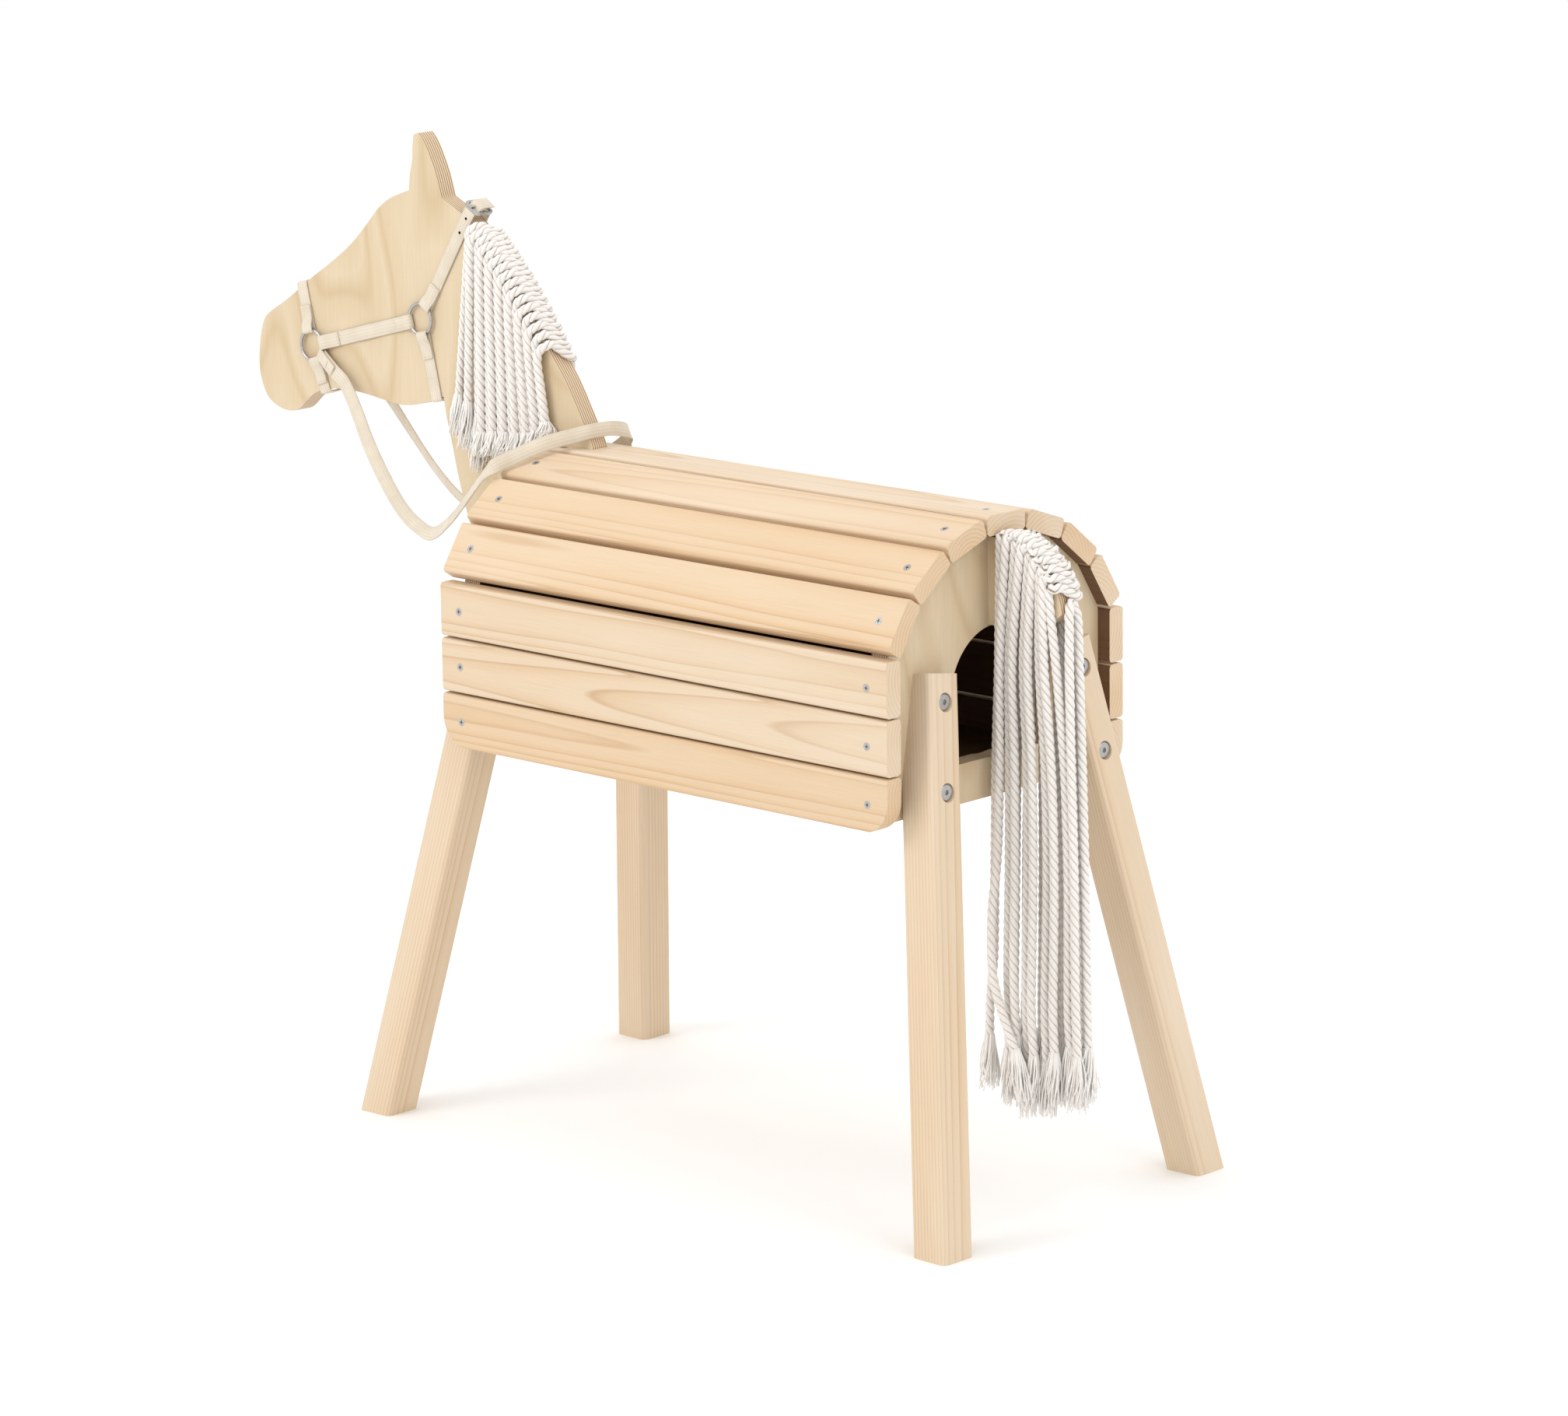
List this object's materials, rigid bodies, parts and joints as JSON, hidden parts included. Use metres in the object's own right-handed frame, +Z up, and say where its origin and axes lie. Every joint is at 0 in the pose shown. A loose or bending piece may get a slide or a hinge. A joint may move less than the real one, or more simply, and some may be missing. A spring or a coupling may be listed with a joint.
{
  "type": "slatted play horse",
  "caption": "Child's wooden horse: a slatted pine barrel on splayed legs, plywood head and tail board, rope mane and tail, webbing halter and rein.",
  "frame": {"origin": "on the floor, midway between the muzzle and the heels and on the horse's centre plane", "axes": "+X from head to tail, +Y to the horse's right, +Z up"},
  "size_m": [1.1405, 0.4204, 0.98],
  "materials": {
    "pine": "oiled, planed pine with open grain",
    "birch_plywood": "sanded birch plywood with dark glue lines on its edges",
    "steel": "bright zinc-plated or nickel-plated steel",
    "cotton_webbing": "cream cotton webbing with sewn folds",
    "cotton_rope": "off-white three-strand cotton rope with frayed ends"
  },
  "bodies": {
    "horse": {"slat_top": "pine", "slat_left_1": "pine", "slat_left_2": "pine", "slat_left_3": "pine", "slat_left_4": "pine", "slat_left_5": "pine", "slat_left_6": "pine", "slat_right_1": "pine", "slat_right_2": "pine", "slat_right_3": "pine", "slat_right_4": "pine", "slat_right_5": "pine", "slat_right_6": "pine", "front_panel": "birch_plywood", "rear_panel": "birch_plywood", "bottom_board": "birch_plywood", "head_and_neck": "birch_plywood", "tail_board": "birch_plywood", "leg_front_left": "pine", "leg_front_right": "pine", "leg_rear_left": "pine", "leg_rear_right": "pine", "leg_bolts": "steel", "leg_nuts": "steel", "slat_screws": "steel", "noseband": "cotton_webbing", "chin_strap": "cotton_webbing", "cheek_strap_left": "cotton_webbing", "cheek_strap_right": "cotton_webbing", "throat_strap": "cotton_webbing", "crown_strap_left": "cotton_webbing", "crown_strap_right": "cotton_webbing", "buckle_frame": "steel", "rein": "cotton_webbing", "mane_ropes_1": "cotton_rope", "mane_ropes_2": "cotton_rope", "mane_ropes_3": "cotton_rope", "mane_ropes_4": "cotton_rope", "mane_ropes_5": "cotton_rope", "mane_ropes_6": "cotton_rope", "mane_ropes_7": "cotton_rope", "mane_ropes_8": "cotton_rope", "tail_rope_1": "cotton_rope", "tail_rope_2": "cotton_rope", "tail_rope_3": "cotton_rope", "tail_rope_4": "cotton_rope", "tail_rope_5": "cotton_rope", "tail_rope_6": "cotton_rope", "tail_rope_7": "cotton_rope", "tail_rope_8": "cotton_rope", "tail_rope_9": "cotton_rope", "tail_rope_10": "cotton_rope"},
    "ring_front_left_body": {"ring_front_left": "steel"},
    "ring_front_right_body": {"ring_front_right": "steel"},
    "ring_rear_left_body": {"ring_rear_left": "steel"},
    "ring_rear_right_body": {"ring_rear_right": "steel"},
    "prong": {"buckle_prong": "steel"}
  },
  "joints": [
    {"name": "ring_front_left_turn", "type": "hinge", "parent": "horse", "child": "ring_front_left_body", "pos_m": [-0.4832, -0.0144, 0.744], "axis": [0, 1, 0], "continuous": true},
    {"name": "ring_front_right_turn", "type": "hinge", "parent": "horse", "child": "ring_front_right_body", "pos_m": [-0.4832, 0.0144, 0.744], "axis": [0, 1, 0], "continuous": true},
    {"name": "ring_rear_left_turn", "type": "hinge", "parent": "horse", "child": "ring_rear_left_body", "pos_m": [-0.3172, -0.0144, 0.788], "axis": [0, 1, 0], "continuous": true},
    {"name": "ring_rear_right_turn", "type": "hinge", "parent": "horse", "child": "ring_rear_right_body", "pos_m": [-0.3172, 0.0144, 0.788], "axis": [0, 1, 0], "continuous": true},
    {"name": "prong_lift", "type": "hinge", "parent": "horse", "child": "prong", "pos_m": [-0.24116, 0, 0.90875], "axis": [-0.8462, 0, 0.5329], "range_deg": [0, 8]}
  ]
}
